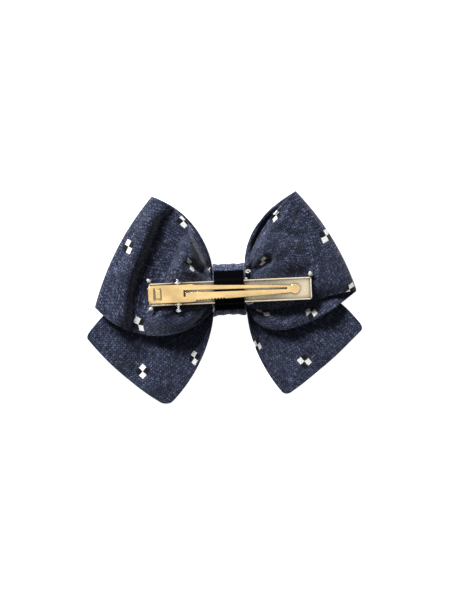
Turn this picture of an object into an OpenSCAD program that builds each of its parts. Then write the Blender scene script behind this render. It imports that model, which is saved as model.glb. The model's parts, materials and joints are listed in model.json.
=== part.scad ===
// Hair bow: looped strip, tail strip, knot and a single-prong clip on its back.
// X runs along the clip, Y from the tails to the loops, Z from the bow's face to the clip.
// The face of the knot is flat at z = 0, and the origin is below the middle of the clip.

/* [Bow] */
// Width over the two loops and tails
bow_w = 100; // [80:1:130]
// Height from the tails' ends to the loops' corners
bow_h = 75; // [60:1:100]
// Thickness of the turned fabric
cloth_t = 0.7; // [0.5:0.05:1]
// How far the loops' back layer puffs out
puff = 3.3; // [1:0.1:5]
// Number of pleats gathered under the knot
pleats = 4; // [2:1:6]

/* [Knot] */
// Width of the knot along the clip
knot_w = 12; // [9:0.5:16]
// Height of the knot
knot_h = 18.4; // [14:0.2:24]
// Thickness of the knot from face to back
knot_d = 8.3; // [7:0.1:12]
// Thickness of the knot's strip
knot_t = 0.9; // [0.6:0.1:1.5]

/* [Clip] */
// Length of the clip's base
clip_l = 57.7; // [45:0.1:70]
// Width of the clip's base
clip_w = 8; // [7:0.1:10]
// Thickness of the clip's sheet metal
sheet_t = 0.5; // [0.4:0.05:0.8]
// Height of the turned-up sides
side_h = 2; // [1.2:0.1:3]
// Width of the lever
lever_w = 6.3; // [5:0.1:8]
// Diameter of the hinge pin
pin_d = 1.05; // [0.8:0.05:1.5]
// Running clearance of the pin, on the radius
pin_gap = 0.06; // [0.02:0.01:0.1]
// Slope of the lever at rest
lever_tilt = 18; // [10:1:22]

/* [Hidden] */
$fn = 48;

sx = bow_w/100;
sy = bow_h/75;
knot_y = 0.9;                        // middle of the knot above the clip's centreline
half_w = knot_w/2;

// ---- the cloth: layers, edges and shells -------------------------------------------------------

tail_z = 2.2;                        // height of each layer under the knot
front_z = 4;
back_z = 6;
fold_z = 5.6;                        // height of the loops' folds
fold_r = 1.7;
fold_l = 40;                         // length of a loop from the knot to its fold

// Each edge of a layer in plan is a cubic curve from the knot to the fold.
// side 0 is the left loop and side 1 the right; layer 0 is the front and layer 1 the back.
low_edge = [
    [[[-6.2, -6.2], [-14, -15], [-33, -17], [-47.7, -3.8]],
     [[-6.2, -6.2], [-15, -17], [-34, -19], [-47.7, -3.8]]],
    [[[6.8, -6.2], [11, -19.5], [27, -16], [45.2, -2]],
     [[6.8, -5.6], [13, -9.6], [27, -4.6], [45.2, -1.4]]]];
top_edge = [
    [[[-6.2, 8.2], [-6.4, 18.5], [-13, 30.5], [-25.7, 34.9]],
     [[-6.2, 8], [-9, 17], [-13.5, 30.5], [-25.7, 34.9]]],
    [[[6.8, 8.2], [6, 19], [13, 28.5], [25.1, 34.7]],
     [[6.8, 7.6], [10, 20], [17.5, 28], [25.1, 34.7]]]];
// How far each fold bows out from the straight line between its corners.
fold_bow = [[-2.15, 1.25], [2.0, 1.1]];

tail_top = [
    [[-6.2, 7], [-20, 8], [-38, 4.5], [-51.9, -14]],
    [[6.8, 7], [18, 8], [36, 2.5], [47.8, -15]]];
tail_low = [
    [[-6.2, -5.8], [-6.2, -17], [-13, -31], [-23.7, -40.2]],
    [[6.8, -5.8], [6.2, -16], [10, -28], [18.8, -38.3]]];
tail_bow = [[-1.2, -1.25], [0.6, -0.7]];

function curve(p, u) = pow(1 - u, 3)*p[0] + 3*u*pow(1 - u, 2)*p[1]
    + 3*u*u*(1 - u)*p[2] + pow(u, 3)*p[3];
function mix(a, b, u) = a + (b - a)*u;
function ease(u) = let (v = min(1, max(0, u))) v*v*(3 - 2*v);
// A width across the strip under the knot, where u is 1 at the middle of the bow.
function gathered(edge, u) = [edge[0][0]*(1 - u), edge[0][1]];

// Place in plan of a point on a loop: q runs from the knot (0) to the fold (1), and below 0 it is
// under the knot; t runs across the strip from its low edge to its top edge.
function loop_plan(side, layer, q, t) =
    let (low = low_edge[side][layer], top = top_edge[side][layer],
        a = q < 0 ? gathered(low, -q) : curve(low, q),
        b = q < 0 ? gathered(top, -q) : curve(top, q),
        bow = fold_bow[side]*4*t*(1 - t)*pow(max(0, q), 2))
    mix(a, b, t) + bow;

// The loops' back layer is pressed down along the clip.
function under_clip(y) = exp(-pow(y/7, 4));
function rise(q) = q <= 0 ? 0 : sin(180*pow(q, 0.7));

function loop_z(side, layer, q, t, xy) =
    let (v = max(0, q),
        centre = mix((front_z + back_z)/2, fold_z, v),
        d = min(1, (1 - v)*fold_l/fold_r),
        half = mix((back_z - front_z)/2, fold_r, ease(2*v))*sqrt(1 - pow(1 - d, 2)),
        pleat = (0.4 + 2.5*v)*pow(1 - v, 3.5)*sin(360*pleats*t + 90*side + 180*layer),
        clear_tail = ease((xy[1] - 7)/9))
    layer == 1
        ? centre + half + rise(q)*puff*(1 - 0.76*under_clip(xy[1]))
            + pleat*(1 - 0.75*under_clip(xy[1])*ease(4*v))
        : centre - half - 1.3*rise(q)*clear_tail + pleat*mix(1, 0.45, ease(4*v));

function loop_point(side, layer, q, t) =
    let (xy = loop_plan(side, layer, q, t)) [sx*xy[0], sy*xy[1], loop_z(side, layer, q, t, xy)];

// Stations of one layer from the middle of the bow to the fold, closer together round the fold.
flat_steps = 15;
fold_steps = 5;
q_fold = 1 - fold_r/fold_l;
stations = concat([-1, -0.5], [for (i = [0:flat_steps - 1]) pow(i/flat_steps, 1.15)*q_fold],
    [for (i = [0:fold_steps]) q_fold + (1 - q_fold)*sin(90*i/fold_steps)]);
last = len(stations) - 1;
// Once round the closed strip: out along the left back, home along the left front, and so on.
round_trip = concat(
    [for (i = [0:last]) [0, 1, stations[i]]],
    [for (i = [last - 1:-1:0]) [0, 0, stations[i]]],
    [for (i = [1:last]) [1, 0, stations[i]]],
    [for (i = [last - 1:-1:1]) [1, 1, stations[i]]]);
across = 22;
loop_grid = [for (s = round_trip) [for (j = [0:across]) loop_point(s[0], s[1], s[2], j/across)]];

function tail_z_at(side, q, t) =
    let (v = max(0, q))
    mix(tail_z, 1.75, ease(2*v))
        + (0.4 + 0.4*v)*(1 - 0.5*v)*sin(360*mix(pleats, 1.5, ease(1.5*v))*t + 120*side)
        + 0.6*ease((v - 0.55)/0.45)*sin(180*t);
function tail_point(side, q, t) =
    let (low = tail_low[side], top = tail_top[side],
        a = q < 0 ? gathered(low, -q) : curve(low, q),
        b = q < 0 ? gathered(top, -q) : curve(top, q),
        xy = mix(a, b, t) + tail_bow[side]*4*t*(1 - t)*pow(max(0, q), 2))
    [sx*xy[0], sy*xy[1], tail_z_at(side, q, t)];
tail_steps = 20;
tail_stations = concat([-1, -0.5], [for (i = [0:tail_steps]) i/tail_steps]);
tail_last = len(tail_stations) - 1;
tail_grid = concat(
    [for (i = [tail_last:-1:0]) [for (j = [0:across]) tail_point(0, tail_stations[i], j/across)]],
    [for (i = [1:tail_last]) [for (j = [0:across]) tail_point(1, tail_stations[i], j/across)]]);

function unit(v) = v/norm(v);
// Outward direction of a grid of points at row i and column j.
function facing(g, i, j, closed) =
    let (n = len(g), m = len(g[0]) - 1,
        i0 = closed ? (i + n - 1) % n : max(0, i - 1),
        i1 = closed ? (i + 1) % n : min(n - 1, i + 1))
    unit(cross(g[i1][j] - g[i0][j], g[i][min(m, j + 1)] - g[i][max(0, j - 1)]));

// A sheet of cloth with a thickness, from the grid of points of its middle surface.
module cloth(g, t, closed) {
    n = len(g);
    m = len(g[0]);
    half = [for (i = [0:n - 1]) [for (j = [0:m - 1]) facing(g, i, j, closed)*t/2]];
    outer = [for (i = [0:n - 1]) for (j = [0:m - 1]) g[i][j] + half[i][j]];
    inner = [for (i = [0:n - 1]) for (j = [0:m - 1]) g[i][j] - half[i][j]];
    rows = closed ? n : n - 1;
    k = n*m;
    polyhedron(concat(outer, inner), concat(
        [for (i = [0:rows - 1]) for (j = [0:m - 2])
            let (a = i*m + j, b = ((i + 1) % n)*m + j)
            each [[a, a + 1, b + 1], [a, b + 1, b],
                [k + a, k + b + 1, k + a + 1], [k + a, k + b, k + b + 1]]],
        [for (i = [0:rows - 1]) for (j = [0, m - 1])
            let (a = i*m + j, b = ((i + 1) % n)*m + j)
            each j == 0 ? [[a, b, k + b], [a, k + b, k + a]]
                : [[a, k + b, b], [a, k + a, k + b]]],
        closed ? [] : [for (i = [0, n - 1]) for (j = [0:m - 2])
            let (a = i*m + j)
            each i == 0 ? [[a, k + a + 1, a + 1], [a, k + a, k + a + 1]]
                : [[a, a + 1, k + a + 1], [a, k + a + 1, k + a]]]), convexity = 10);
}

module loop_band() color([0.11, 0.13, 0.2]) cloth(loop_grid, cloth_t, true);
module tail_strip() color([0.12, 0.14, 0.22]) cloth(tail_grid, cloth_t, false);

// ---- the middle: thread, knot, glue and ribbon ---------------------------------------------------

// A rounded rectangle in plan, w wide and h high.
module rounded(w, h, r) {
    square([w, h - 2*r], center = true);
    square([w - 2*r, h], center = true);
    for (x = [-1, 1], y = [-1, 1]) translate([x*(w/2 - r), y*(h/2 - r)]) circle(r);
}
// Stands a plan in the plane of Y and Z, and makes it l long along X.
module along_x(l) rotate([90, 0, 90]) linear_extrude(l, center = true) children();

thread_d = 0.35;
thread_h = 15.5;
thread_w = knot_d - 2*knot_t - 0.55;
thread_r = 1;
// One turn of thread, as a round cord round a rounded rectangle.
module thread_turn() {
    w = thread_w/2 - thread_r;
    h = thread_h/2 - thread_r;
    for (a = [0, 1, 2, 3])
        translate([(a == 0 || a == 3 ? h : -h), (a < 2 ? w : -w), 0]) rotate(90*a)
            rotate_extrude(angle = 90) translate([thread_r, 0]) circle(d = thread_d, $fn = 16);
    for (s = [-1, 1]) {
        translate([0, s*thread_w/2, 0]) rotate([0, 90, 0])
            cylinder(d = thread_d, h = 2*h, center = true, $fn = 16);
        translate([s*thread_h/2, 0, 0]) rotate([90, 0, 0])
            cylinder(d = thread_d, h = 2*w, center = true, $fn = 16);
    }
}
module gather_thread() color([0.85, 0.85, 0.82]) translate([0, knot_y + 0.1, knot_d/2]) {
    for (x = [-0.9, -0.3, 0.3, 0.9]) translate([x, 0, 0]) rotate([90, 0, 90]) thread_turn();
    // the tie, which joins the turns
    translate([0, thread_h/2, 1]) rotate([0, 90, 0])
        cylinder(d = thread_d, h = 2.1, center = true, $fn = 16);
}

module knot_band() color([0.1, 0.12, 0.19])
    translate([0.3, knot_y, knot_d/2]) along_x(knot_w) difference() {
        rounded(knot_h, knot_d, 3);
        rounded(knot_h - 2*knot_t, knot_d - 2*knot_t, 1.5);
    }

glue_t = 0.3;
base_z = knot_d + glue_t;            // underside of the clip's base
floor_z = base_z + sheet_t;
module clip_glue() color([0.85, 0.84, 0.8])
    translate([-4.5, -3, knot_d]) cube([9.5, 6, glue_t]);

ribbon_w = 10.5;
ribbon_t = 0.3;
ribbon_y = [-6.6, 7.5];              // ends of the ribbon on the knot's back
module back_ribbon() color([0.04, 0.04, 0.06]) {
    out = clip_w/2 + 0.08;           // clear of the base's sides
    up = base_z + side_h + 0.08;
    translate([0.2, 0, 0]) along_x(ribbon_w) polygon([
        [ribbon_y[0], knot_d + 0.02], [-out, knot_d + 0.02], [-out, up], [out, up],
        [out, knot_d + 0.02], [ribbon_y[1], knot_d + 0.02], [ribbon_y[1], knot_d + 0.02 + ribbon_t],
        [out + ribbon_t, knot_d + 0.02 + ribbon_t], [out + ribbon_t, up + ribbon_t],
        [-out - ribbon_t, up + ribbon_t], [-out - ribbon_t, knot_d + 0.02 + ribbon_t],
        [ribbon_y[0], knot_d + 0.02 + ribbon_t]]);
}

// ---- the clip --------------------------------------------------------------------------------------

clip_x0 = -28.3*clip_l/57.7;         // left end of the base
clip_x1 = clip_x0 + clip_l;
pin_x = -18*clip_l/57.7;
pin_z = floor_z + 2.5;
ear_r = 1.6;
half_c = clip_w/2;

// A plan in X and Z, made w wide along Y about the clip's centreline.
module side_cut(w, y = 0) translate([0, y + w/2, 0]) rotate([90, 0, 0]) linear_extrude(w) children();

module clip_base() color([0.86, 0.73, 0.5]) difference() {
    union() {
        // floor, with rounded corners
        translate([(clip_x0 + clip_x1)/2, 0, base_z]) linear_extrude(sheet_t)
            rounded(clip_l, clip_w, 0.6);
        for (s = [-1, 1]) side_cut(sheet_t, s*(half_c - sheet_t/2)) {
            // turned-up side
            translate([clip_x0 + 0.6, base_z]) square([clip_l - 1.2, side_h]);
            // ear for the pin
            translate([pin_x - ear_r, base_z]) square([2*ear_r, pin_z - base_z]);
            translate([pin_x, pin_z]) circle(ear_r);
            // fillets from the ear to the side
            for (e = [-1, 1]) translate([pin_x + e*(ear_r + 0.35), base_z + side_h])
                square([0.7, 0.5], center = true);
        }
        // raised lips at both ends
        for (x = [clip_x0, clip_x1 - sheet_t]) translate([x, 0.6 - half_c, base_z])
            cube([sheet_t, clip_w - 1.2, 1.3]);
    }
    translate([pin_x, 0, pin_z]) rotate([90, 0, 0])
        cylinder(d = pin_d + 2*pin_gap, h = clip_w + 2, center = true);
}

module hinge_pin() color([0.82, 0.83, 0.85]) translate([pin_x, 0, pin_z]) rotate([90, 0, 0]) {
    // the shank runs from the upset end to the head
    translate([0, 0, -5.1]) cylinder(d = pin_d, h = 11.1);
    translate([0, 0, 5.6]) cylinder(d = 2.1, h = 0.6);
    translate([0, 0, 6.2]) rotate_extrude() intersection() {
        translate([0, -0.9]) circle(1.38);
        square([1.05, 0.6]);
    }
}

// The arm's side view is a chain of tangent bends: lever, bend, arch, bend and flat tip.
bend_r = 8;
arch_r = 78*clip_l/57.7;
arch_in = 8;                         // slope at the start of the arch, upwards
arch_out = 17.5;                     // slope at its end, downwards
tip_r = 4.5;
plate_z = pin_z + 1.6;               // middle of the plate above the pin
bend_c = [pin_x + 1, plate_z - tan(lever_tilt)] + bend_r*[sin(lever_tilt), cos(lever_tilt)];
arch_c = bend_c + (bend_r + arch_r)*[sin(arch_in), -cos(arch_in)];
tip_c = arch_c + (arch_r + tip_r)*[sin(arch_out), cos(arch_out)];
tip_z = tip_c[1] - tip_r;            // middle of the flat tip
tip_x = 23.5*clip_l/57.7;

// Part of a ring of sheet between two directions, in degrees from +X.
module bend(c, r, from, to) {
    far = 2*r;
    mid = (from + to)/2;
    translate(c) intersection() {
        difference() {
            circle(r + sheet_t/2, $fn = 180);
            circle(r - sheet_t/2, $fn = 180);
        }
        polygon([[0, 0], far*[cos(from), sin(from)], far*[cos(mid), sin(mid)],
            far*[cos(to), sin(to)]]);
    }
}

module arm_side() {
    // lever
    translate([pin_x + 1, plate_z - tan(lever_tilt)]) rotate(180 - lever_tilt)
        translate([0, -sheet_t/2]) square([14, sheet_t]);
    bend(bend_c, bend_r, 270 - lever_tilt, 270 + arch_in);
    bend(arch_c, arch_r, 90 + arch_in + 0.04, 90 - arch_out);
    bend(tip_c, tip_r, 270 - arch_out - 0.7, 270.7);
    translate([tip_c[0], tip_z - sheet_t/2]) square([6, sheet_t]);
}

tip_disc = 1.8;
module arm_plan() difference() {
    union() {
        polygon([[clip_x0, -lever_w/2 + 1], [clip_x0 + 1, -lever_w/2], [-13, -lever_w/2],
            [-11, -2.75], [5.8, -2.1], [14.6, -1.7], [tip_x, -1.2],
            [tip_x, 1.2], [14.6, 1.7], [5.8, 2.1], [-11, 2.75], [-13, lever_w/2],
            [clip_x0 + 1, lever_w/2], [clip_x0, lever_w/2 - 1]]);
        translate([tip_x, 0]) circle(tip_disc);
    }
    // the long slot and its cross slot
    translate([-15.95, -1.17]) square([0.7, 2.3]);
    polygon([[-15.6, 0.25], [20.7, 0.02], [20.7, 0.62], [-15.6, 1.1]]);
    // two slots in the lever, with the spring's bridge between them
    for (x = [-26.1, -24.1]) translate([x, 0]) square([0.75, 4.1], center = true);
    // teeth along one edge of the prong
    for (i = [0:9]) translate([-11.2 + 1.05*i, -2.82 + 0.042*i]) circle(0.4, $fn = 24);
}

cheek_x = [-3.6, 2.6];               // ends of the cheeks, from the pin
module clip_arm() color([0.88, 0.75, 0.52]) {
    intersection() {
        side_cut(clip_w) arm_side();
        translate([0, 0, base_z]) linear_extrude(12) arm_plan();
    }
    // cheeks turned down to the pin, hung from the underside of the lever
    for (s = [-1, 1]) side_cut(sheet_t, s*(lever_w - sheet_t)/2) difference() {
        union() {
            translate([pin_x, pin_z]) circle(1.45);
            polygon([[pin_x - 1.45, pin_z], [pin_x + 1.45, pin_z],
                [pin_x + cheek_x[1], plate_z - 0.45], [pin_x + 1, plate_z - tan(lever_tilt)],
                [pin_x + cheek_x[0], plate_z - cheek_x[0]*tan(lever_tilt)]]);
        }
        translate([pin_x, pin_z]) circle(d = pin_d + 2*pin_gap);
    }
}

spring_t = 0.3;
spring_w = 3.6;
spring_r = 1;                        // of the fold's middle, round the pin
lower_leg = 7.6;
lower_tilt = asin((pin_z - spring_r - floor_z - spring_t/2 - 0.06)/lower_leg);
upper_leg = 7.1;
// Two legs folded round the pin: one stands on the floor, one lies under the lever with its end
// turned up into the lever's slot.
module leaf_spring() color([0.7, 0.71, 0.74]) side_cut(spring_w) translate([pin_x, pin_z]) {
    difference() {
        circle(spring_r + spring_t/2);
        circle(spring_r - spring_t/2);
        polygon([[0, 0], 3*[-sin(lever_tilt), -cos(lever_tilt) + 2], 3*[-1, 0.5], 3*[-1, -0.8],
            3*[-sin(-lower_tilt), -cos(lower_tilt)]]);
    }
    rotate(180 - lever_tilt) translate([0, -spring_r - spring_t/2]) square([upper_leg, spring_t]);
    rotate(180 - lever_tilt) translate([upper_leg - spring_t, -spring_r - spring_t/2 - 0.75])
        square([spring_t, 0.8]);
    rotate(180 + lower_tilt) translate([0, spring_r - spring_t/2]) square([lower_leg, spring_t]);
}

module corner_dabs() color([0.86, 0.86, 0.84])
    for (p = [[29.2, 5], [-28.2, 5], [-27.8, -5]])
        translate([p[0], p[1], base_z + 0.5]) cylinder(d1 = 1.8, d2 = 1.2, h = 0.8);

loop_band();
tail_strip();
gather_thread();
knot_band();
clip_glue();
back_ribbon();
clip_base();
clip_arm();
hinge_pin();
leaf_spring();
corner_dabs();
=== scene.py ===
"""Denim hair bow lying on its face, with its clip up: the cloth, the materials, the light and the camera."""

import json
import math

import bmesh
import bpy
import numpy as np
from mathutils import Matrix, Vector


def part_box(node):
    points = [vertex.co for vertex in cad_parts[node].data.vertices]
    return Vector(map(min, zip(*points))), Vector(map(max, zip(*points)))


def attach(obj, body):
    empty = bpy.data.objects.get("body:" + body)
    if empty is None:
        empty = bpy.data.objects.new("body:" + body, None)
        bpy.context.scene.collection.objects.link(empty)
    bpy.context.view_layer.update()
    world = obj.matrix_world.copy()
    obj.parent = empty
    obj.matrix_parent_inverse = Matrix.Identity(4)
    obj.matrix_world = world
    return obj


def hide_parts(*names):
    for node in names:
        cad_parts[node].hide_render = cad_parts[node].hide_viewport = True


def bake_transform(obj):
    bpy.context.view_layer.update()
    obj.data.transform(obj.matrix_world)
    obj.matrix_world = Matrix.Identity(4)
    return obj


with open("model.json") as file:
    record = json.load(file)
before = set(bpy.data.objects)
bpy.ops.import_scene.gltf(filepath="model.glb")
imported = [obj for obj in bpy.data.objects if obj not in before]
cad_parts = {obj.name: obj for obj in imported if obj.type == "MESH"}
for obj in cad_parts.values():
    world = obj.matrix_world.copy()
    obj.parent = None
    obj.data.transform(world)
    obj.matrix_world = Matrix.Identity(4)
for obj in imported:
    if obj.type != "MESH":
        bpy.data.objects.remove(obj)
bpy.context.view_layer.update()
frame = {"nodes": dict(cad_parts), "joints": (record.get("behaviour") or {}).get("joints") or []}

MM = 0.001  # shapes are worked out in millimetres


def box_mm(node):
    """Lowest and highest corner of a CAD node, in millimetres."""
    low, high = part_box(node)
    return np.array(low) / MM, np.array(high) / MM


# ---- sizes ---------------------------------------------------------------------------------------

KNOT_LOW, KNOT_HIGH = box_mm("knot_band")
BASE_LOW, BASE_HIGH = box_mm("clip_base")
KNOT_DEPTH = KNOT_HIGH[2] - KNOT_LOW[2]
KNOT_MID_Y = (KNOT_HIGH[1] + KNOT_LOW[1]) / 2
BASE_UNDER = BASE_LOW[2]  # underside of the clip's base
SHEET = 0.5  # the clip's sheet metal
FLOOR = BASE_UNDER + SHEET  # upper face of the clip's base
PIN = np.array(frame["joints"][0]["pos_m"]) / MM

CLOTH = 0.7  # a turned strip, two layers of chambray
STRIP = 44.0  # flat width of the loops' strip
TAIL_STRIP = 40.0
PLEATS, FINE_PLEATS = 4, 7  # across a strip at the knot
CHECK_STEP = 26.8  # the woven checks repeat at this distance, with one more in the middle
CHECK_SQUARE = 1.95  # half the width of a check
CHECK_REACH = 9.0  # how far the weave's shift at a check is felt, as a Gaussian's width
LEFT, RIGHT = 0, 1

# Heights of the layers where they lie under the knot, and at the loops' folds.
TAIL_Z, FRONT_Z, BACK_Z, FOLD_Z = 2.2, 4.0, 6.0, 5.6
FOLD_RADIUS = 1.7
LOOP_LENGTH = 40.0  # from the knot to the fold
TAIL_LENGTH = 50.0  # from the knot to the cut end
PUFF = 3.3  # how far the loops' back layers puff out
LOW_RIM_DROOP = {LEFT: 1.7, RIGHT: 0.9}  # how far their low rims droop

# How finely the strips are drawn: stations along a loop's layer, round its fold, along a tail, round its
# corners and round the knot, and places across a strip, across the knot's and round a rim.
LOOP_STATIONS, FOLD_STATIONS, TAIL_STATIONS, CORNER_STATIONS, KNOT_STATIONS = 92, 13, 110, 12, 168
PLACES, KNOT_PLACES, RIM_PLACES = 84, 40, 4
UNDER_KNOT = np.linspace(-1, 0, 7)[:-1]  # stations from the middle of the knot (-1) to its edge (0)

# Edges of each layer in plan: cubic curves from the knot to the fold or the cut end.
LOOP_EDGES = {
    (LEFT, "front", "low"): ((-6.2, -6.2), (-14, -15), (-33, -17), (-47.7, -3.8)),
    (LEFT, "back", "low"): ((-6.2, -6.2), (-15, -17), (-34, -19), (-47.7, -3.8)),
    (LEFT, "front", "top"): ((-5.8, 8.2), (-6.0, 18.0), (-13, 30.5), (-25.7, 34.9)),
    (LEFT, "back", "top"): ((-5.9, 8.0), (-8.6, 17), (-13.5, 30.5), (-25.7, 34.9)),
    (RIGHT, "front", "low"): ((6.7, -6.0), (10, -19.2), (27, -16.3), (45.2, -2.0)),
    (RIGHT, "back", "low"): ((6.7, -5.6), (13, -9.6), (27, -4.6), (45.2, -1.4)),
    (RIGHT, "front", "top"): ((6.4, 8.2), (5.8, 19), (13, 28.5), (25.1, 34.7)),
    (RIGHT, "back", "top"): ((6.5, 7.6), (9.8, 20), (17.5, 28), (25.1, 34.7)),
}
TAIL_EDGES = {
    (LEFT, "top"): ((-6.2, 7), (-20, 8), (-38, 4.5), (-51.9, -14)),
    (LEFT, "low"): ((-5.9, -5.8), (-6.0, -17), (-13, -31), (-23.7, -40.2)),
    (RIGHT, "top"): ((6.8, 7), (18, 8), (36, 2.5), (47.8, -15)),
    (RIGHT, "low"): ((6.4, -5.8), (6.2, -16), (10, -28), (18.8, -38.3)),
}
# Radii of the corners at the tails' ends: at the low edge, and at the top edge.
TAIL_CORNERS = {LEFT: (3.2, 1.2), RIGHT: (2.6, 1.6)}
# How far a fold or an end bows out from the straight line between its corners.
FOLD_BOW = {LEFT: (-2.15, 1.25), RIGHT: (2.0, 1.1)}
TAIL_BOW = {LEFT: (-1.2, -1.25), RIGHT: (0.6, -0.7)}

# ---- curves and surfaces ---------------------------------------------------------------------------


def mix(a, b, share):
    """A share of the way from a to b."""
    return a + (b - a) * share


def ease(u):
    """0 below 0, 1 above 1, and a smooth step between: 3u^2 - 2u^3."""
    u = np.clip(u, 0, 1)
    return u * u * (3 - 2 * u)


def cubic(points, u):
    """Points of a cubic Bezier curve at the parameters u."""
    p = np.array(points, float)
    u = np.asarray(u)[..., None]
    return (1 - u) ** 3 * p[0] + 3 * u * (1 - u) ** 2 * p[1] + 3 * u * u * (1 - u) * p[2] + u**3 * p[3]


def edge_points(points, q):
    """The edge at q: on its cubic beyond the knot, and straight across under it where q is below 0."""
    under = np.array(points[0]) * np.stack([1 + np.minimum(q, 0), np.ones_like(q)], -1)
    return np.where((q < 0)[:, None], under, cubic(points, np.maximum(q, 0)))


def ruled(low, top, bow, q, t):
    """Plan of a strip: a straight line across from the low edge to the top edge at each station q,
    which bows out by a parabola in t towards the fold or end."""
    a, b = edge_points(low, q)[:, None], edge_points(top, q)[:, None]
    t = np.broadcast_to(t, (len(q), np.shape(t)[-1]))
    out = 4 * t * (1 - t) * (np.maximum(q, 0) ** 2)[:, None]
    return mix(a, b, t[..., None]) + out[..., None] * np.array(bow)


def line_distance(x, y, path):
    """Distance in plan of each point from a polyline, and how far it lies to the line's left."""
    best, left = np.full(x.shape, np.inf), np.zeros(x.shape)
    for (ax, ay), (bx, by) in zip(path, path[1:]):
        dx, dy = bx - ax, by - ay
        along = np.clip(((x - ax) * dx + (y - ay) * dy) / (dx * dx + dy * dy), 0, 1)
        far = np.hypot(x - ax - along * dx, y - ay - along * dy)
        side = (dx * (y - ay) - dy * (x - ax)) / math.hypot(dx, dy)
        left = np.where(far < best, side, left)
        best = np.minimum(best, far)
    return best, left


def ridge(x, y, path, widths, height):
    """A rounded ridge (or a valley, if height is below 0) along a polyline: a Gaussian of the distance,
    with one width on the left of the line's direction and another on its right."""
    far, side = line_distance(x, y, path)
    width = mix(widths[1], widths[0], ease(0.5 + side / (2 * min(widths))))
    return height * np.exp(-((far / width) ** 2))


def wrinkles(x, y, seed, size, height):
    """Slow, soft unevenness: a sum of a few sine waves of mixed direction and about the same length."""
    rng = np.random.default_rng(seed)
    count, total = 6, np.zeros_like(x)
    angles, phases = rng.uniform(0, math.pi, count), rng.uniform(0, 6.28, count)
    for angle, phase, stretch in zip(angles, phases, rng.uniform(0.7, 1.5, count)):
        total += np.sin(2 * math.pi * (x * math.cos(angle) + y * math.sin(angle)) / (size * stretch) + phase)
    return height * total / count


def under_clip(y):
    """1 along the clip, falling to 0 at about 10 mm from its centreline."""
    return np.exp(-((y / 7) ** 4))


# Folds of the loops' layers: (path in plan, widths to the left and right of it, height).
FOLDS = {
    (LEFT, "back"): (
        # the long valley beside the fold, with its steep wall towards the fold
        (
            ((-34.0, -13), (-33.4, -6.9), (-31.9, -0.4), (-30.0, 6.1), (-27.4, 12.6), (-24.6, 19.1), (-22.0, 25.2)),
            (2.2, 6.2), -5.2,
        ),
        (((-26.0, 3.0), (-23.4, 8.0), (-20.0, 14.0), (-17.0, 20.5), (-14.4, 26.5)), (6.4, 2.6), -5.6),
        (((-38.6, -7), (-37.4, 0), (-34.6, 9), (-31.0, 17), (-26.4, 26.5)), (4.6, 2.4), 2.6),
        # puffs above and below the clip
        (((-14.2, 18.6), (-13.4, 12.8)), (2.2, 2.6), 1.2),
        (((-20, 8.0), (-14, 7.2)), (2.2, 2.2), 0.7),
        (((-24, -8.5), (-17, -10.5)), (4.0, 3.5), 1.0),
        # creases, and a ridge between them, that run out from the knot
        (((-14.0, 10.7), (-7.0, 5.2)), (1.1, 1.3), -2.6),
        (((-13.8, 22.5), (-11.4, 16.0), (-8.0, 8.8)), (1.4, 1.5), -3.6),
        (((-11.6, 21.5), (-7.4, 11.0)), (1.2, 1.2), 1.2),
        (((-12.5, -10.5), (-7.0, -5.2)), (1.0, 1.3), -1.6),
    ),
    (RIGHT, "back"): (
        (((7.3, 5.3), (11.0, 7.8), (15.0, 10.4)), (1.7, 1.4), -4.2),
        (((7.4, 8.8), (10.6, 17.0), (14.4, 23.3), (19.0, 27.2)), (2.6, 2.0), -3.0),
        (((15.0, 15.0), (20.5, 14.0), (23.0, 9.0)), (4.0, 3.2), 1.3),
        (((18.5, 21.0), (26.5, 17.5), (29.5, 8)), (2.0, 2.0), -1.4),
        (((31, 27), (37.5, 14), (42, 3)), (6.0, 2.6), 1.9),
        (((26, 26), (32, 19), (35, 9)), (1.8, 1.8), -0.9),
        # its low edge lies closer to the front layer
        (((8, -6.6), (15, -8.0), (24, -6.4), (33, -4.0), (41, -2.4)), (2.6, 2.6), -1.6),
    ),
    (LEFT, "front"): (),
    (RIGHT, "front"): (
        # the rim rolls up beside the back layer
        (((7.2, 9.5), (8.4, 17.5), (12.2, 24.6), (17.2, 29.2)), (1.5, 1.5), 3.0),
        (((9.5, -10.6), (20, -12.6), (31, -10.6), (38, -7.6)), (2.8, 3.4), 2.6),
    ),
}


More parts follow.
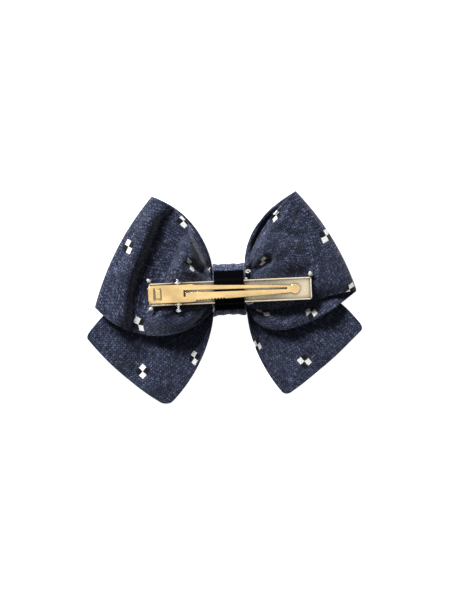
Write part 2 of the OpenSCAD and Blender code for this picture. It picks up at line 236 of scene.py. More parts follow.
def loop_height(side, layer, q, t, xy):
    """Height of a loop's middle surface. Both layers start together at the knot, part by a half-gap that
    closes in a quarter circle at the fold, and carry pleats that die out from the knot. The front layer
    sags where no tail is below, and has folds of its own. The back layer puffs out. Along the clip its
    puff and its raised folds are pressed flat, but its creases go on, and its low rim droops. A soft
    maximum, (a + b + sqrt((a - b)^2 + s^2)) / 2, keeps the back layer a least gap above the front one."""
    x, y = xy[..., 0], xy[..., 1]
    v = np.maximum(q, 0)[:, None] + 0 * x
    centre = mix((FRONT_Z + BACK_Z) / 2, FOLD_Z, v)
    to_fold = np.minimum(1, (1 - v) * LOOP_LENGTH / FOLD_RADIUS)
    half = mix((BACK_Z - FRONT_Z) / 2, FOLD_RADIUS, ease(2 * v)) * np.sqrt(np.maximum(0, 1 - (1 - to_fold) ** 2))
    rise = np.sin(np.pi * v**0.7)
    turn = math.pi / 2 * side + (math.pi if layer == "back" else 0)
    fine = 0.35 * np.sin(2 * math.pi * FINE_PLEATS * t + 1.3 * turn) * ease(6 * v)
    pleat = (np.sin(2 * math.pi * PLEATS * t + turn) + fine) * (0.4 + 3.0 * v) * (1 - v) ** 3.2
    folds = sum((ridge(x, y, *fold) for fold in FOLDS[side, layer]), 0 * x)
    if layer == "front":
        sag = 1.3 * rise * ease((y - 7) / 9)
        ends = ease(6 * v) * ease((1 - v) * 6)
        uneven = wrinkles(x, y, 11 + side, 17, 0.25)
        return centre - half - sag + pleat * mix(1, 0.45, ease(4 * v)) + (folds + uneven) * ends
    clip, margin = under_clip(y), 2.5
    beside = ease((x - BASE_LOW[0] + margin) / margin) * ease((BASE_HIGH[0] + margin - x) / margin)
    ends = ease(9 * v) * ease((1 - v) * 9)
    free = (1 - clip * beside) * ends
    down, up = np.minimum(folds, 0), np.maximum(folds, 0)
    droop = LOW_RIM_DROOP[side] * np.exp(-((t[None] * STRIP / 3.2) ** 2)) * rise * ends
    z = centre + half + rise * PUFF * (1 - 0.76 * clip) + pleat * (1 - 0.75 * clip * ease(4 * v))
    z = z + (up + wrinkles(x, y, 3 + side, 11, 0.45)) * free + down * ends - droop
    least = centre - half + np.minimum(1.1, 1.6 * half)
    soft = 0.35 * np.minimum(1, half)
    return (z + least + np.sqrt((z - least) ** 2 + soft**2)) / 2


def stations(count, arc_count, arc_share):
    """Places along a layer from the knot (0) to the fold (1), closer together round the fold."""
    flat = np.linspace(0, 1, count) ** 1.1 * (1 - arc_share)
    arc = 1 - arc_share + arc_share * np.sin(np.linspace(0, math.pi / 2, arc_count))[1:]
    return np.concatenate([UNDER_KNOT, flat, arc])


def across(count, width, thickness):
    """Places across a strip from 0 to 1, with the rounded rims drawn closer."""
    rim = (1 - np.cos(np.linspace(0, math.pi / 2, RIM_PLACES))) * thickness / 2 / width
    return np.concatenate([rim, np.linspace(rim[-1], 1 - rim[-1], count)[1:-1], (1 - rim)[::-1]])


def rounded_half(distance, thickness):
    """Half the thickness at a distance from the nearest rim: a half circle, then flat."""
    r = thickness / 2
    return r * np.sqrt(np.maximum(0, 1 - (1 - np.clip(distance / r, 0, 1)) ** 2))


def facing(grid, closed):
    """Unit normals of a grid of points, from the cross product of its two directions."""
    if closed:
        along = np.roll(grid, -1, 0) - np.roll(grid, 1, 0)
    else:
        along = np.gradient(grid, axis=0)
    normal = np.cross(along, np.gradient(grid, axis=1))
    return normal / np.linalg.norm(normal, axis=-1, keepdims=True)


def ring_of(top, bottom):
    """One closed section per station: across the top and back along the bottom."""
    return np.concatenate([top, bottom[:, -2:0:-1]], axis=1)


def make_mesh(name, blocks, material, body="bow"):
    """A mesh from blocks of (points, uv), each a grid of closed sections. Sections that meet are merged,
    and the faces are turned outwards."""
    points, faces, corner_uv, start = [], [], [], 0
    for grid, uv in blocks:
        n, k = grid.shape[:2]
        i, j = np.meshgrid(np.arange(n - 1), np.arange(k), indexing="ij")
        j2 = (j + 1) % k
        quads = np.stack([i * k + j, i * k + j2, (i + 1) * k + j2, (i + 1) * k + j], -1).reshape(-1, 4)
        faces.append(quads + start)
        corner_uv.append(uv.reshape(-1, 2)[quads])
        points.append(grid.reshape(-1, 3))
        start += n * k
    points, faces, corner_uv = np.concatenate(points), np.concatenate(faces), np.concatenate(corner_uv)
    a, b, c, d = (points[faces[:, s]] for s in range(4))
    volume = (np.cross(b - a, c - a) * a).sum() + (np.cross(c - a, d - a) * a).sum()
    if volume < 0:
        faces, corner_uv = faces[:, ::-1], corner_uv[:, ::-1]
    mesh = bpy.data.meshes.new(name)
    mesh.from_pydata((points * MM).tolist(), [], faces.tolist())
    layer = mesh.uv_layers.new(name="cloth")
    layer.data.foreach_set("uv", corner_uv.reshape(-1).astype(np.float32))
    work = bmesh.new()
    work.from_mesh(mesh)
    same_place, no_length = 2e-7, 1e-8
    bmesh.ops.remove_doubles(work, verts=work.verts, dist=same_place)
    bmesh.ops.dissolve_degenerate(work, edges=work.edges, dist=no_length)
    work.to_mesh(mesh)
    work.free()
    mesh.shade_smooth()
    mesh.materials.append(material)
    piece = bpy.data.objects.new(name, mesh)
    bpy.context.scene.collection.objects.link(piece)
    if body:
        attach(piece, body)
    return piece


def run_of(path):
    """Length of a polyline up to each of its points."""
    return np.concatenate([[0], np.cumsum(np.linalg.norm(np.diff(path, axis=0), axis=-1))])


def lengths_from(grid, row):
    """Length along each line of the grid, measured from a row, so the weave keeps its size."""
    steps = np.linalg.norm(np.diff(grid, axis=0), axis=-1)
    run = np.concatenate([np.zeros((1, grid.shape[1])), np.cumsum(steps, 0)])
    return run - run[row]


# ---- materials ---------------------------------------------------------------------------------------


def hex_colour(code):
    """An sRGB hex colour as linear RGBA."""
    parts = [int(code[i : i + 2], 16) / 255 for i in (1, 3, 5)]
    return tuple(c / 12.92 if c <= 0.04045 else ((c + 0.055) / 1.055) ** 2.4 for c in parts) + (1.0,)


def add(tree, kind, inputs=None, stops=(), **settings):
    """Adds a shader node with its settings. An input is a value, another node (its first output) or a
    socket, and stops are the (place, hex colour) pairs of a colour ramp."""
    node = tree.nodes.new("ShaderNode" + kind)
    for key, value in settings.items():
        setattr(node, key, value)
    for key, value in (inputs or {}).items():
        if isinstance(value, bpy.types.Node):
            value = value.outputs[0]
        if isinstance(value, bpy.types.NodeSocket):
            tree.links.new(value, node.inputs[key])
        else:
            node.inputs[key].default_value = value
    for index, (place, code) in enumerate(stops):
        elements = node.color_ramp.elements  # a new ramp has two
        element = elements[index] if index < 2 else elements.new(place)
        element.position = place
        element.color = hex_colour(code)
    return node


def new_material(name, **values):
    """A material with only a Principled shader, set to the values, and its output."""
    material = bpy.data.materials.new(name)
    material.use_nodes = True
    tree = material.node_tree
    tree.nodes.clear()
    shader = add(tree, "BsdfPrincipled")
    for key, value in values.items():
        shader.inputs[key.replace("_", " ")].default_value = value
    add(tree, "OutputMaterial", {"Surface": shader})
    return material, tree, shader


def finish_surface(tree, shader, colour, **bump):
    """Gives the shader its colour, which is a socket, and a bump with these inputs."""
    tree.links.new(colour, shader.inputs["Base Color"])
    tree.links.new(add(tree, "Bump", bump).outputs[0], shader.inputs["Normal"])


YARN = 0.55  # spacing of the yarns in mm, drawn about one and a half times too coarse so that it shows
CHAMBRAY_TONES = ((0.45, "#05070f"), (0.55, "#151a2b"), (0.66, "#343b54"), (0.82, "#868ea8"))


def chambray(name, painted_light_lift):
    """Navy chambray, plain woven from dark warp and slubby pale-flecked weft: matt, with short streaks
    along both yarns, a fine bump, and small woven checks of two white and two black squares. The last
    argument raises its tone evenly. This is painted light, for a lighter copy on the knot, which faces the light.
    All scales are per mm of cloth."""
    material, tree, shader = new_material(
        name, Roughness=0.92, Specular_IOR_Level=0.25, Sheen_Weight=0.18, Sheen_Roughness=0.5
    )
    place = add(tree, "UVMap", uv_map="cloth")
    axes = add(tree, "SeparateXYZ", {0: place})

    def streaks(scale_u, scale_v, shift):
        spot = add(tree, "Mapping", {0: place, "Location": (0, 0, shift), "Scale": (scale_u, scale_v, 1)})
        return add(tree, "TexNoise", {"Vector": spot, "Scale": 1.0, "Detail": 2.0, "Roughness": 0.6})

    # yarns are about 0.5 mm wide, and their slubs 2 to 5 mm long
    along_u, along_v = streaks(0.38, 2.3, 0.0), streaks(2.3, 0.38, 7.0)
    fleck, blotch = streaks(2.2, 2.2, 3.0), streaks(0.09, 0.09, 5.0)
    waves = []
    for axis in axes.outputs[:2]:
        phase = add(tree, "Math", {0: axis, 1: math.pi / YARN}, operation="MULTIPLY")
        waves.append(add(tree, "Math", {0: phase}, operation="SINE"))
    weave = add(tree, "Math", {0: waves[0], 1: waves[1]}, operation="MULTIPLY")
    # painted light: the tone starts raised, which makes the knot's copy lighter all over
    tone = painted_light_lift
    for pattern, share in ((along_v, 0.4), (along_u, 0.55), (fleck, 0.2), (blotch, 0.07), (weave, 0.05)):
        tone = add(tree, "Math", {0: pattern, 1: share, 2: tone}, operation="MULTIPLY_ADD")
    cloth = add(tree, "ValToRGB", {0: tone}, CHAMBRAY_TONES)
    height = add(tree, "Math", {0: weave, 1: 0.5, 2: tone}, operation="MULTIPLY_ADD")

    # a check stands at each point of a square lattice, and in the middle of each of its cells; fleck, which
    # is about 0.5, frays its edges
    inside, white = 0.0, 0.0
    for shift in (0.0, 0.5):
        cell, away = [], []
        for axis in axes.outputs[:2]:
            turns = add(tree, "Math", {0: axis, 1: 1 / CHECK_STEP, 2: shift + 0.5}, operation="MULTIPLY_ADD")
            turns = add(tree, "Math", {0: turns}, operation="FRACT")
            turns = add(tree, "Math", {0: turns, 1: 0.5}, operation="SUBTRACT")
            cell.append(add(tree, "Math", {0: turns, 1: CHECK_STEP}, operation="MULTIPLY"))
            away.append(add(tree, "Math", {0: cell[-1]}, operation="ABSOLUTE"))
        far = add(tree, "Math", {0: away[0], 1: away[1]}, operation="MAXIMUM")
        ragged = add(tree, "Math", {0: fleck, 1: 0.5, 2: far}, operation="MULTIPLY_ADD")
        near = add(tree, "Math", {0: ragged, 1: CHECK_SQUARE + 0.25}, operation="LESS_THAN")
        product = add(tree, "Math", {0: cell[0], 1: cell[1]}, operation="MULTIPLY")
        same = add(tree, "Math", {0: product, 1: 0.0}, operation="GREATER_THAN")
        inside = add(tree, "Math", {0: near, 1: inside}, operation="MAXIMUM")
        square = add(tree, "Math", {0: near, 1: same}, operation="MULTIPLY")
        white = add(tree, "Math", {0: square, 1: white}, operation="MAXIMUM")
    yarn = add(tree, "ValToRGB", {0: fleck}, ((0.25, "#c4c8d2"), (0.5, "#ffffff")))
    dark = add(tree, "Mix", {0: inside, 6: cloth, 7: hex_colour("#07080d")}, data_type="RGBA")
    colour = add(tree, "Mix", {0: white, 6: dark.outputs[2], 7: yarn}, data_type="RGBA")
    height = add(tree, "Math", {0: inside, 1: 0.8, 2: height}, operation="MULTIPLY_ADD")
    finish_surface(tree, shader, colour.outputs[2], Strength=0.5, Distance=0.12 * MM, Height=height)
    return material


def plated(name, code, roughness, unevenness, painted_shade):
    """Thin bright plating on pressed sheet or wire: metal, with slow waves from pressing, about 5 mm apart
    and unevenness mm deep, faint lengthwise scratches in its roughness, edges worn round, and painted
    shade in hollows, a darker tone wherever ambient occlusion finds them. Painted shade above 1 blackens
    the deepest corners."""
    material, tree, shader = new_material(name, Metallic=1.0)
    place = add(tree, "TexCoord").outputs["Object"]
    fine = 1 / (0.3 * MM)  # scratches about 0.3 mm apart and a dozen times as long
    long_way = add(tree, "Mapping", {0: place, "Scale": (0.08 * fine, fine, fine)})
    scratches = add(tree, "TexNoise", {"Vector": long_way, "Scale": 1.0, "Detail": 3.0})
    rough = add(tree, "MapRange", {0: scratches, 1: 0.3, 2: 0.7, 3: roughness * 0.85, 4: roughness * 1.25})
    waves = add(tree, "TexNoise", {"Vector": place, "Scale": 1 / (5 * MM), "Detail": 0.5})
    worn = add(tree, "Bevel", {0: 0.22 * MM}, samples=8)
    # painted shade: where ambient occlusion finds hollows, corners and slots, the colour is mixed towards near-black
    # brown #1c1712
    hollow = add(tree, "AmbientOcclusion", {"Distance": 5 * MM}, samples=8).outputs["AO"]
    unshaded_share = add(tree, "MapRange", {0: hollow, 1: 0.2, 2: 0.95, 3: 1 - painted_shade, 4: 1.0})
    colour = add(tree, "Mix", {0: unshaded_share, 6: hex_colour("#1c1712"), 7: hex_colour(code)}, data_type="RGBA")
    tree.links.new(rough.outputs[0], shader.inputs["Roughness"])
    finish_surface(tree, shader, colour.outputs[2], Strength=0.7, Distance=unevenness * MM, Height=waves, Normal=worn)
    return material


def black_ribbon():
    """Black fine-ribbed ribbon: ribs across it about 0.6 mm apart, with a slight lustre."""
    material, tree, shader = new_material("black ribbed ribbon", Roughness=0.8, Specular_IOR_Level=0.04)
    place = add(tree, "UVMap", uv_map="cloth")
    axes = add(tree, "SeparateXYZ", {0: place})
    phase = add(tree, "Math", {0: axes, 1: 2 * math.pi / 0.6}, operation="MULTIPLY")
    rib = add(tree, "Math", {0: phase}, operation="SINE")
    fuzz = add(tree, "TexNoise", {"Vector": place, "Scale": 2.5, "Detail": 2.0})
    colour = add(tree, "ValToRGB", {0: fuzz}, ((0.3, "#010103"), (0.75, "#040409")))
    height = add(tree, "Math", {0: rib, 1: 0.5, 2: fuzz}, operation="MULTIPLY_ADD")
    finish_surface(tree, shader, colour.outputs[0], Strength=0.5, Distance=0.1 * MM, Height=height)
    return material


def hot_melt_glue():
    """Cooled hot-melt glue: milky, waxy and slightly clear, with small lumps about 0.8 mm across."""
    material, tree, shader = new_material(
        "cooled hot-melt glue", Roughness=0.35, Subsurface_Weight=0.3, Subsurface_Scale=0.5 * MM,
        Subsurface_Radius=(1, 0.95, 0.85),
    )
    place = add(tree, "TexCoord").outputs["Object"]
    lumps = add(tree, "TexNoise", {"Vector": place, "Scale": 1 / (0.8 * MM), "Detail": 2.0})
    colour = add(tree, "ValToRGB", {0: lumps}, ((0.3, "#b9b6ac"), (0.7, "#e9e7df")))
    finish_surface(tree, shader, colour.outputs[0], Strength=0.5, Distance=0.2 * MM, Height=lumps)
    return material


def spun_thread():
    """Spun polyester thread, off-white and matt, with the twist of its plies as a slanting bump."""
    material, tree, shader = new_material("spun polyester thread", Roughness=0.8)
    place = add(tree, "TexCoord").outputs["Object"]
    twist = add(tree, "TexWave", {"Vector": place, "Scale": 1 / (0.5 * MM), "Distortion": 1.0}).outputs[1]
    colour = add(tree, "ValToRGB", {0: twist}, ((0.2, "#b8b8b2"), (0.8, "#dcdcd6")))
    finish_surface(tree, shader, colour.outputs[0], Strength=0.5, Distance=0.1 * MM, Height=twist)
    return material


DENIM = chambray("navy chambray with woven checks", 0.0)
# painted light: a lighter copy of the same chambray for the knot, which faces the light
KNOT_DENIM_PAINTED_LIGHTER = chambray("navy chambray, painted lighter for the knot", 0.055)
# the last number is how strongly painted shade darkens each plating's hollows
GILT = plated("pale gilt plating on pressed sheet", "#efcd92", 0.17, 0.13, 0.45)
CHAMPAGNE = plated("champagne nickel plating on pressed sheet", "#f6e6c8", 0.2, 0.1, 1.15)
BRIGHT = plated("bright nickel-plated wire", "#dedfe2", 0.16, 0.03, 0.4)
SPRING = plated("gilt rolled spring steel", "#ecd199", 0.2, 0.03, 0.5)
RIBBON = black_ribbon()
GLUE = hot_melt_glue()
THREAD = spun_thread()

# ---- the cloth, the spring and the glue --------------------------------------------------------------


# Woven checks that show: (plan position, place on the checks' lattice in half steps, layer).
LOOP_CHECKS = {
    LEFT: (
        ((-34.3, 17.5), (0, 0), "back"),
        ((-15.1, 25.9), (-1, 1), "back"),
        ((-13.7, 10.5), (-2, 0), "back"),
        ((-32.8, -10.6), (-1, -1), "back"),
    ),
    RIGHT: (
        ((35.2, 18.5), (0, 0), "back"),
        ((17.9, 26.2), (-1, 1), "back"),
        ((12.6, 10.5), (-2, 0), "back"),
        ((43.0, -1.2), (0, -2), "back"),
        ((26.0, 0.5), (-1, -1), "back"),
        ((17.0, -2.0), (-2, -2), "back"),
        ((29.2, -8.6), (2, -2), "front"),
        ((11.8, -8.0), (3, -1), "front"),
    ),
}
TAIL_CHECKS = {
    LEFT: (((-32.0, -27.2), (0, 0), "tail"), ((-13.3, -22.9), (1, -1), "tail")),
    RIGHT: (((26.0, -26.2), (0, 0), "tail"), ((9.2, -19.6), (-1, -1), "tail"), ((47.0, -13.5), (0, 1.7), "tail")),
}


def place_checks(uv, grid, rows, checks):
    """Shifts the weave's coordinates smoothly so that the checks fall where they should: a common shift, and
    a sum of wide Gaussians about the checks for what is left. rows gives each layer's rows of the grid."""
    here, there = [], []
    for (x, y), lattice, layer in checks:
        part = grid[rows[layer]]
        i, j = np.unravel_index(np.argmin(np.hypot(part[..., 0] - x, part[..., 1] - y)), part.shape[:2])
        here.append(uv[rows[layer]][i, j])
        there.append(np.array(lattice) * CHECK_STEP / 2)
    here, there = np.array(here), np.array(there)
    common = (there - here).mean(0)

    def near(points):
        return np.exp(-((points[..., None, :] - here) ** 2).sum(-1) / (2 * CHECK_REACH**2))

    weights = np.linalg.solve(near(here), there - here - common)
    return uv + common + near(uv) @ weights


def make_loops():
    """The closed strip: out along the left back layer, home along the left front, then the right pair."""
    q = stations(LOOP_STATIONS, FOLD_STATIONS, FOLD_RADIUS / LOOP_LENGTH)
    t = across(PLACES, STRIP, CLOTH)

    def layer(side, which):
        low, top = LOOP_EDGES[side, which, "low"], LOOP_EDGES[side, which, "top"]
        xy = ruled(low, top, FOLD_BOW[side], q, t)
        return np.concatenate([xy, loop_height(side, which, q, t, xy)[..., None]], -1)

    halves = []
    for side, first, second in ((LEFT, "back", "front"), (RIGHT, "front", "back")):
        out, home = layer(side, first), layer(side, second)[::-1]
        fold = (out[-1:] + home[:1]) / 2
        halves.append(np.concatenate([out[:-1], fold, home[1:]]))
    left, right = halves
    closed = np.concatenate([left[:-1], right[:-1]])
    half = rounded_half(np.minimum(t, 1 - t) * STRIP, CLOTH)[None, :, None]
    step = facing(closed, True) * half
    loop = np.concatenate([closed, closed[:1]])
    step = np.concatenate([step, step[:1]])
    blocks = []
    split = len(left) - 1
    for part, rows in ((LEFT, slice(0, split + 1)), (RIGHT, slice(split, None))):
        grid, thick = loop[rows], step[rows]
        u = lengths_from(grid, len(q) - 1)
        if part == RIGHT:
            u = -u
        v = np.broadcast_to(t * STRIP, u.shape)
        first, second = slice(0, len(q)), slice(len(q) - 1, None)
        rows = {"back": first, "front": second} if part == LEFT else {"front": first, "back": second}
        uv = place_checks(np.stack([u, v], -1), grid, rows, LOOP_CHECKS[part])
        blocks.append((ring_of(grid + thick, grid - thick), ring_of(uv, uv)))
    loops = make_mesh("loops", blocks, DENIM)
    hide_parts("loop_band")
    return loops


def tail_height(side, q, t, xy):
    """Height of a tail's middle surface: pleats at the knot that open into slow waves towards the end, a
    crown in the middle of the end, and folds and unevenness where no loop covers it."""
    x, y = xy[..., 0], xy[..., 1]
    v = np.maximum(q, 0)[:, None] + 0 * x
    waves = np.sin(2 * math.pi * mix(PLEATS, 1.5, ease(1.5 * v)) * t + 2.09 * side)
    crown = 0.6 * ease((v - 0.55) / 0.45) * np.sin(math.pi * t)
    free = ease((-9 - y) / 7)
    folds = np.sin(2 * math.pi * (2.6 * t + 0.35 * v) + 1.1 + side) * 0.7 * free * (1 - 0.4 * v)
    soft = wrinkles(x, y, 21 + side, 12, 0.3) * ease(3 * v) * (0.5 + free)
    return mix(TAIL_Z, 1.9, ease(2 * v)) + (0.4 + 0.4 * v) * (1 - 0.5 * v) * waves + crown + folds + soft


def make_tails():
    """One strip through the knot: from the left end in to the middle, and out to the right end. At an end
    the corners are rounded: the strip narrows by a quarter circle at each side."""
    t = across(PLACES, TAIL_STRIP, CLOTH)
    q = np.concatenate([UNDER_KNOT, np.linspace(0, 1, TAIL_STATIONS)])
    corner = 1 - np.cos(np.linspace(0, math.pi / 2, CORNER_STATIONS))
    ends = 1 - corner[::-1] * max(TAIL_CORNERS[LEFT] + TAIL_CORNERS[RIGHT]) / TAIL_LENGTH
    q = np.concatenate([q[q < ends[0]], ends])
    sides = []
    for side in (LEFT, RIGHT):
        gap = (1 - q) * TAIL_LENGTH
        low_cut, top_cut = (
            (r - np.sqrt(np.maximum(0, r * r - np.maximum(0, r - gap) ** 2))) / TAIL_STRIP
            for r in TAIL_CORNERS[side]
        )
        share = low_cut[:, None] + t[None] * (1 - low_cut - top_cut)[:, None]
        xy = ruled(TAIL_EDGES[side, "low"], TAIL_EDGES[side, "top"], TAIL_BOW[side], q, share)
        sides.append(np.concatenate([xy, tail_height(side, q, share, xy)[..., None]], -1))
    left, right = sides
    whole = np.concatenate([left[::-1], right[1:]])
    run = lengths_from(whole, 0)
    from_end = np.minimum(run, run[-1] - run)
    half = rounded_half(np.minimum(np.minimum(t, 1 - t) * TAIL_STRIP, from_end), CLOTH)
    step = facing(whole, False) * half[..., None]
    blocks = []
    split = len(left) - 1
    for side, rows in ((LEFT, slice(0, split + 1)), (RIGHT, slice(split, None))):
        grid, thick = whole[rows], step[rows]
        u = lengths_from(grid, 0 if side == LEFT else -1)
        uv = np.stack([u, np.broadcast_to(t * TAIL_STRIP, u.shape)], -1)
        uv = place_checks(uv, grid, {"tail": slice(None)}, TAIL_CHECKS[side])
        blocks.append((ring_of(grid + thick, grid - thick), ring_of(uv, uv)))
    tails = make_mesh("tails", blocks, DENIM)
    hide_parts("tail_strip")
    return tails


def rounded_path(width, height, radius, count):
    """A rounded rectangle about the origin, as evenly spaced points that start at the end of one side; and
    its girth."""
    w, h = width / 2 - radius, height / 2 - radius
    corner = np.linspace(0, math.pi / 2, 13)
    path = []
    for turn, (cx, cy) in enumerate(((w, h), (-w, h), (-w, -h), (w, -h))):
        angle = corner + turn * math.pi / 2
        path.append(np.stack([cx + radius * np.cos(angle), cy + radius * np.sin(angle)], -1))
    path = np.concatenate(path)
    path = np.concatenate([path, path[:1]])
    run = run_of(path)
    even = np.linspace(0, run[-1], count + 1)
    return np.stack([np.interp(even, run, path[:, axis]) for axis in (0, 1)], -1)[:-1], run[-1]


def make_knot():
    """The knot's strip, wrapped round the middle: a rounded rectangle carried along X, slightly askew, with
    soft lengthwise pleats on its upper and lower sides, a low side that flares at its corners, and rounded
    rims."""
    thickness = 0.8
    height, width = KNOT_HIGH[1] - KNOT_LOW[1], KNOT_HIGH[0] - KNOT_LOW[0]
    corner = 2.6
    path, length = rounded_path(height - thickness, KNOT_DEPTH - thickness, corner, KNOT_STATIONS)
    t = across(KNOT_PLACES, width, thickness)
    from_middle = path[:, :1]
    flare = 0.55 * (2 * t[None] - 1) ** 2 * ease((-from_middle - 5) / 4)
    x = KNOT_LOW[0] + t[None] * width + 0.035 * from_middle
    y = from_middle + KNOT_MID_Y - flare
    z = path[:, 1:] + KNOT_DEPTH / 2 + 0 * x
    grid = np.stack([x, y, z], -1)
    out = facing(grid, True)
    centre = np.array([0, KNOT_MID_Y, KNOT_DEPTH / 2])
    outward = np.sign(((grid - centre) * out * np.array([0, 1, 1])).sum(-1, keepdims=True))
    pleats = 0.12 * (np.sin(2 * math.pi * 3.5 * t[None] + 0.8) - 1) * ease((np.abs(from_middle) - 5) / 3)
    grid = grid + out * outward * pleats[..., None]
    thick = out * rounded_half(np.minimum(t, 1 - t) * width, thickness)[None, :, None]
    grid, thick = np.concatenate([grid, grid[:1]]), np.concatenate([thick, thick[:1]])
    u = np.linspace(0, length, len(grid))[:, None] + 0 * t[None] + 7.5
    v = 0 * u + t[None] * width + 7.0
    uv = np.stack([u, v], -1)
    knot = make_mesh("knot", [(ring_of(grid + thick, grid - thick), ring_of(uv, uv))], KNOT_DENIM_PAINTED_LIGHTER)
    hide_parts("knot_band")
    return knot


def strip_along(name, path, span, width_axis, thickness, material, count):
    """A narrow strip carried along a path. The path lies in the plane across the width's axis, which is 0
    for X and 1 for Y, and span is where the strip begins and ends on that axis. Also gives its length."""
    run = run_of(path)
    width = span[1] - span[0]
    t = across(count, width, thickness)
    columns = [path[:, :1] + 0 * t[None], path[:, 1:] + 0 * t[None]]
    columns.insert(width_axis, span[0] + t[None] * width + 0 * path[:, :1])
    grid = np.stack(columns, -1)
    ends = np.minimum(run, run[-1] - run)[:, None]
    half = rounded_half(np.minimum(np.minimum(t, 1 - t)[None] * width, ends), thickness)
    step = facing(grid, False) * half[..., None]
    uv = np.stack([run[:, None] + 0 * t[None], t[None] * width + 0 * run[:, None]], -1)
    return make_mesh(name, [(ring_of(grid + step, grid - step), ring_of(uv, uv))], material, body=None), run[-1]


def smooth_path(points, radius, count):
    """A polyline whose corners are rounded by quadratic curves, as points close together at its ends."""
    p = np.array(points, float)
    path = [p[:1]]
    for a, b, c in zip(p, p[1:], p[2:]):
        before, after = np.linalg.norm(a - b), np.linalg.norm(c - b)
        r = min(radius, before / 2, after / 2)
        s, e = b + (a - b) / before * r, b + (c - b) / after * r
        w = np.linspace(0, 1, 9)[:, None]
        path.append((1 - w) ** 2 * s + 2 * w * (1 - w) * b + w**2 * e)
    path = np.concatenate(path + [p[-1:]])
    run = run_of(path)
    even = np.linspace(0, run[-1], count)
    rim = 0.15  # about half the thickness of the ribbon and the spring
    tip = (1 - np.cos(np.linspace(0, math.pi / 2, RIM_PLACES))) * rim
    even = np.concatenate([tip, even[1:-1], run[-1] - tip[::-1]])
    return np.stack([np.interp(even, run, path[:, axis]) for axis in (0, 1)], -1)


def make_ribbon():
    """The black ribbon: flat on the knot at both ends, up over the sides of the base, with a slight sag."""
    low, high = box_mm("back_ribbon")
    thickness = 0.28
    rest, over = KNOT_DEPTH + 0.05 + thickness / 2, high[2] - thickness / 2
    side = BASE_HIGH[1] + 0.1 + thickness / 2
    points = (
        (low[1] + 0.1, rest - 0.12), (low[1] + 1.0, rest), (-side, rest + 0.1),
        (-side, over), (-2, over - 0.18), (0, over - 0.25), (2, over - 0.18), (side, over),
        (side, rest + 0.1), (high[1] - 1.2, rest), (high[1], rest - 0.08),
    )
    path = smooth_path(points, 0.7, 120)
    ribbon, length = strip_along("ribbon", path, (low[0], high[0]), 0, thickness, RIBBON, 24)
    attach(ribbon, "bow")
    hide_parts("back_ribbon")
    return ribbon


def make_spring():
    """The leaf spring: a strip folded round the pin, with its lower leg on the floor and its upper leg
    under the lever. Its end comes up through one slot of the lever and hooks over the bridge to the other."""
    low, high = box_mm("leaf_spring")
    thickness, radius = 0.3, 1.0
    tilt = math.radians(18)  # slope of the lever at rest
    floor_end = np.array([low[0] + 0.02, FLOOR + 0.21])
    pin = PIN[[0, 2]]
    fall = math.atan2(pin[1] - radius - floor_end[1], pin[0] - floor_end[0])
    angles = np.linspace(-math.pi / 2 + fall, math.pi / 2 - tilt, 25)
    fold = pin + radius * np.stack([np.cos(angles), np.sin(angles)], -1)
    along = np.array([-math.cos(tilt), math.sin(tilt)])
    out = np.array([math.sin(tilt), math.cos(tilt)])
    leg_end = fold[-1] + along * 6.95
    hook = leg_end + out * 1.0
    tail = hook + along * 1.85
    points = np.concatenate([[floor_end], fold, [leg_end - along * 0.3, leg_end, hook, tail, tail - out * 0.55]])
    path = smooth_path(points, 0.25, 130)
    spring, _ = strip_along("spring", path, (low[1], high[1]), 1, thickness, SPRING, 8)
    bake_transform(spring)
    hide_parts("leaf_spring")
    return spring


def blob(centre, radii, seed):
    """A lump of glue: an ellipsoid whose radius wavers by a few slow waves. Its grid is closed at the poles."""
    rng = np.random.default_rng(seed)
    a = np.linspace(0, math.pi, 15)[:, None]
    b = np.linspace(0, 2 * math.pi, 25)[None, :-1]
    waver = 1 + 0.12 * np.sin(2 * b + rng.uniform(0, 6)) * np.sin(a)
    waver = waver + 0.1 * np.cos(3 * b + rng.uniform(0, 6)) * np.sin(a) ** 2
    shape = np.stack([np.sin(a) * np.cos(b) * waver, np.sin(a) * np.sin(b) * waver, np.cos(a) + 0 * b], -1)
    return np.array(centre) + shape * np.array(radii)


def string(points, radius, seed):
    """A strand of set glue along a smooth curve through the points: a tube whose radius wavers and closes
    at both ends."""
    p = np.array(points, float)
    knots = np.linspace(0, 1, len(p))
    s = np.linspace(0, 1, 40)
    path = np.stack([np.interp(s, knots, p[:, axis]) for axis in range(3)], -1)
    for _ in range(12):  # soften the corners, and keep the ends
        path[1:-1] = (path[:-2] + 2 * path[1:-1] + path[2:]) / 4
    along = np.gradient(path, axis=0)
    along /= np.linalg.norm(along, axis=1, keepdims=True)
    side = np.cross(along, (0.3, 0.2, 1.0))
    side /= np.linalg.norm(side, axis=1, keepdims=True)
    up = np.cross(side, along)
    a = np.linspace(0, 2 * math.pi, 13)[None, :-1, None]
    ends = np.sqrt(np.clip(1 - (2 * s - 1) ** 8, 0, 1))
    size = radius * ends * (1 + 0.25 * np.sin(9 * s + seed))
    return path[:, None] + size[:, None, None] * (side[:, None] * np.cos(a) + up[:, None] * np.sin(a))


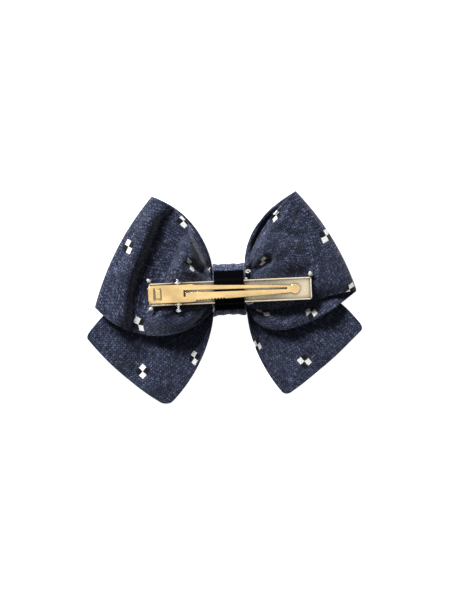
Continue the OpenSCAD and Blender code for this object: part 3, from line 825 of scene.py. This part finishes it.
def make_glue():
    """The glue between the knot and the clip: a flattened pad, with beads and strands that have pressed out
    at the knot's corners."""
    low, high = box_mm("clip_glue")
    mid, half = (low + high) / 2, (high - low) / 2
    grid = blob((0, 0, 0), (1, 1, 1), 5)
    grid = np.sign(grid) * np.abs(grid) ** 0.6  # towards a box, as a pressed pad is
    grid = mid + grid / np.abs(grid).max((0, 1)) * half
    shapes = [grid]
    corners = (
        ((6.0, 6.4, 8.6), (7.0, 7.5, 9.3), (8.2, 7.0, 9.4), (7.2, 6.3, 9.5), (6.3, 6.7, 9.0)),
        ((6.1, 2.6, 8.6), (6.9, 3.6, 9.2), (6.5, 4.6, 9.3), (6.1, 4.3, 9.0)),
        ((5.9, -4.3, 8.8), (7.0, -4.7, 9.3), (8.2, -4.4, 9.3), (8.6, -4.1, 9.1)),
        ((-6.0, -4.3, 8.8), (-5.6, -4.9, 9.4), (-5.5, -6.2, 9.2), (-5.9, -7.0, 8.9)),
        ((-6.3, 7.0, 8.9), (-6.6, 8.2, 9.3), (-6.1, 8.8, 9.1)),
    )
    shapes += [string(points, 0.21, seed) for seed, points in enumerate(corners)]
    blocks = [(shape, np.zeros(shape.shape[:2] + (2,))) for shape in shapes]
    piece = make_mesh("set_glue", blocks, GLUE)
    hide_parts("clip_glue")
    return piece


def make_dabs():
    """The glue dabs at three corners of the base."""
    low, high = box_mm("corner_dabs")
    spots = (
        (high[0] - 0.9, high[1] - 0.85, 0.85),
        (low[0] + 0.9, high[1] - 0.9, 0.75),
        (low[0] + 1.3, low[1] + 0.9, 0.8),
    )
    blocks = []
    for seed, (x, y, r) in enumerate(spots):
        grid = blob((x, y, low[2] + 0.35), (r, r, 0.55), seed)
        blocks.append((grid, np.zeros(grid.shape[:2] + (2,))))
    dabs = make_mesh("corner_dabs_soft", blocks, GLUE)
    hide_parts("corner_dabs")
    return dabs


make_loops()
make_tails()
make_knot()
make_ribbon()
make_spring()
make_glue()
make_dabs()

CAD_PIECES = {"clip_base": CHAMPAGNE, "clip_arm": GILT, "hinge_pin": BRIGHT, "gather_thread": THREAD}
for name, material in CAD_PIECES.items():
    for place in frame["nodes"][name].material_slots:
        place.material = material

# ---- floor, light and camera ---------------------------------------------------------------------------


def make_floor():
    """A plain white sheet that the bow lies on, lit a little from within so that shadows stay faint."""
    material = new_material(
        "plain white paper", Base_Color=hex_colour("#f4f4f4"), Roughness=0.9,
        Emission_Color=(1, 1, 1, 1), Emission_Strength=1.0,
    )[0]
    half = 1.5  # metres
    mesh = bpy.data.meshes.new("floor")
    mesh.from_pydata([(-half, -half, 0), (half, -half, 0), (half, half, 0), (-half, half, 0)], [], [(0, 1, 2, 3)])
    mesh.materials.append(material)
    floor = bpy.data.objects.new("floor", mesh)
    bpy.context.scene.collection.objects.link(floor)
    floor.location.z = -0.2 * MM


def make_light(name, place, size, power, shift=(0, 0)):
    """A rectangular soft light that points at the bow; shift then slides it sideways."""
    lamp = bpy.data.lights.new(name, "AREA")
    lamp.energy = power
    lamp.shape = "RECTANGLE"
    lamp.size, lamp.size_y = size
    light = bpy.data.objects.new(name, lamp)
    light.location = (place[0] + shift[0], place[1] + shift[1], place[2])
    bpy.context.scene.collection.objects.link(light)
    light.rotation_euler = Vector(place).to_track_quat("Z", "Y").to_euler()
    return light


def make_camera():
    """Straight above, through a long lens, turned by the small angle that the clip lies off square."""
    roll = math.radians(-2.5)
    middle_x, middle_y = -1.46 * MM, -2.92 * MM  # what the view is centred on
    view_height = 213 * MM  # at the object
    lens, sensor = 120, 36
    distance = view_height * lens / sensor
    data = bpy.data.cameras.new("camera")
    data.lens, data.sensor_width, data.sensor_fit = lens, sensor, "AUTO"
    data.clip_start, data.clip_end = 0.01, 10
    camera = bpy.data.objects.new("camera", data)
    camera.location = (middle_x, middle_y, KNOT_DEPTH * MM + distance)
    camera.rotation_euler = (0, 0, roll)
    bpy.context.scene.collection.objects.link(camera)
    bpy.context.scene.camera = camera


# a white room: dim as fill light on matt surfaces, and brighter where the metal mirrors it
FILL, MIRRORED = 0.08, 0.5

make_floor()
make_light("key", (-0.38, 0.6, 0.5), (0.28, 0.28), 11.6)
reflector = make_light("overhead", (0.0, 0.0, 1.1), (1.5, 0.42), 1.85, (0.34, 0.2))
reflector.visible_diffuse = False  # a white card that only shiny surfaces show
world = bpy.data.worlds.new("studio")
bpy.context.scene.world = world
world.use_nodes = True
room = world.node_tree.nodes["Background"]
room.inputs["Color"].default_value = (1, 1, 1, 1)
ray = add(world.node_tree, "LightPath").outputs["Is Diffuse Ray"]
strength = add(world.node_tree, "Math", {0: ray, 1: FILL - MIRRORED, 2: MIRRORED}, operation="MULTIPLY_ADD")
world.node_tree.links.new(strength.outputs[0], room.inputs["Strength"])
bpy.context.scene.view_settings.view_transform = "Standard"
make_camera()
